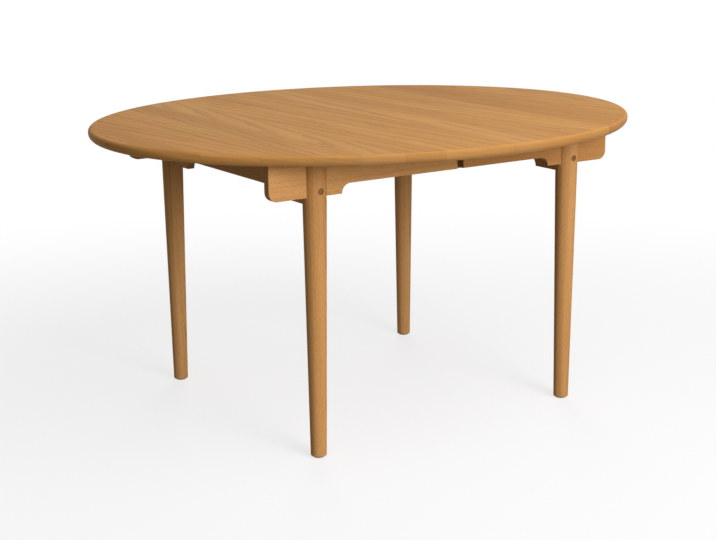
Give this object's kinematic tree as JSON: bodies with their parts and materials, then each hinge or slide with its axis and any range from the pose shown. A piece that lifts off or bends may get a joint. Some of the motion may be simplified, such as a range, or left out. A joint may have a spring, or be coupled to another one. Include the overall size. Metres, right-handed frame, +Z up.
{
  "type": "butterfly leaf table",
  "caption": "Oval oak extending dining table on round tapered legs, whose top draws apart on geared slides over a folding leaf stored beneath.",
  "frame": {"origin": "on the floor under the middle of the closed top", "axes": "+Z up, +X along the long axis, the way the right half of the top draws open, +Y to the back"},
  "size_m": [1.4, 1.19, 0.72],
  "materials": {
    "top_oak": "satin oiled oak staves",
    "frame_oak": "satin oiled oak",
    "peg_wood": "satin end grain",
    "slide_beech": "plain waxed beech",
    "gear_nylon": "natural nylon",
    "zinc_steel": "bright zinc",
    "hinge_brass": "satin brass",
    "felt": "dense brown felt"
  },
  "bodies": {
    "leaf_carrier": {"front_slide_member": "slide_beech", "back_slide_member": "slide_beech", "left_batten": "slide_beech", "right_batten": "slide_beech", "batten_screws": "zinc_steel", "leaf_rests": "slide_beech", "leaf_rest_pads": "felt", "leaf_half_a": "top_oak", "leaf_half_b": "top_oak", "leaf_dowels": "slide_beech", "leaf_hinge_barrels": "hinge_brass", "leaf_hinge_links": "hinge_brass", "leaf_pivot_lugs": "zinc_steel", "batten_pivot_lugs": "zinc_steel", "leaf_pivot_pins": "zinc_steel", "front_pinion_axle": "zinc_steel", "back_pinion_axle": "zinc_steel"},
    "left_half": {"left_top": "top_oak", "left_front_leg": "frame_oak", "left_back_leg": "frame_oak", "left_leg_pegs": "peg_wood", "left_foot_glides": "felt", "left_front_rail": "frame_oak", "left_back_rail": "frame_oak", "left_cross_rail": "frame_oak", "left_rail_screws": "zinc_steel", "left_runner_screws": "zinc_steel", "left_hanger": "slide_beech", "front_upper_runner": "slide_beech", "front_upper_rack": "gear_nylon", "back_lower_runner": "slide_beech", "back_lower_rack": "gear_nylon", "front_latch_plate": "zinc_steel", "front_latch_screw": "zinc_steel", "back_latch_keeper": "zinc_steel", "seam_dowels": "slide_beech"},
    "right_half": {"right_top": "top_oak", "right_front_leg": "frame_oak", "right_back_leg": "frame_oak", "right_leg_pegs": "peg_wood", "right_foot_glides": "felt", "right_front_rail": "frame_oak", "right_back_rail": "frame_oak", "right_cross_rail": "frame_oak", "right_rail_screws": "zinc_steel", "right_runner_screws": "zinc_steel", "right_hanger": "slide_beech", "back_upper_runner": "slide_beech", "back_upper_rack": "gear_nylon", "front_lower_runner": "slide_beech", "front_lower_rack": "gear_nylon", "back_latch_plate": "zinc_steel", "back_latch_screw": "zinc_steel", "front_latch_keeper": "zinc_steel"},
    "front_pinion": {"front_pinion": "gear_nylon"},
    "back_pinion": {"back_pinion": "gear_nylon"},
    "front_latch": {"front_latch_lever": "zinc_steel"},
    "back_latch": {"back_latch_lever": "zinc_steel"}
  },
  "joints": [
    {"name": "left_draw", "type": "slide", "parent": "leaf_carrier", "child": "left_half", "axis": [-1, 0, 0], "range_m": [0, 0.25]},
    {"name": "right_draw", "type": "slide", "parent": "leaf_carrier", "child": "right_half", "axis": [1, 0, 0], "range_m": [0, 0.25]},
    {"name": "front_pinion_turn", "type": "hinge", "parent": "leaf_carrier", "child": "front_pinion", "pos_m": [0, -0.32415, 0.6595], "axis": [0, -1, 0], "continuous": true},
    {"name": "back_pinion_turn", "type": "hinge", "parent": "leaf_carrier", "child": "back_pinion", "pos_m": [0, 0.32415, 0.6595], "axis": [0, 1, 0], "continuous": true},
    {"name": "front_latch_swing", "type": "hinge", "parent": "left_half", "child": "front_latch", "pos_m": [-0.035, -0.08, 0.69], "axis": [0, 0, -1], "range_deg": [0, 75]},
    {"name": "back_latch_swing", "type": "hinge", "parent": "right_half", "child": "back_latch", "pos_m": [0.035, 0.08, 0.69], "axis": [0, 0, -1], "range_deg": [0, 75]}
  ],
  "couplings": [
    {"joint": "right_draw", "follows": "left_draw", "ratio": 1},
    {"joint": "front_pinion_turn", "follows": "left_draw", "rad_per_m": 71.429},
    {"joint": "back_pinion_turn", "follows": "left_draw", "rad_per_m": 71.429}
  ]
}
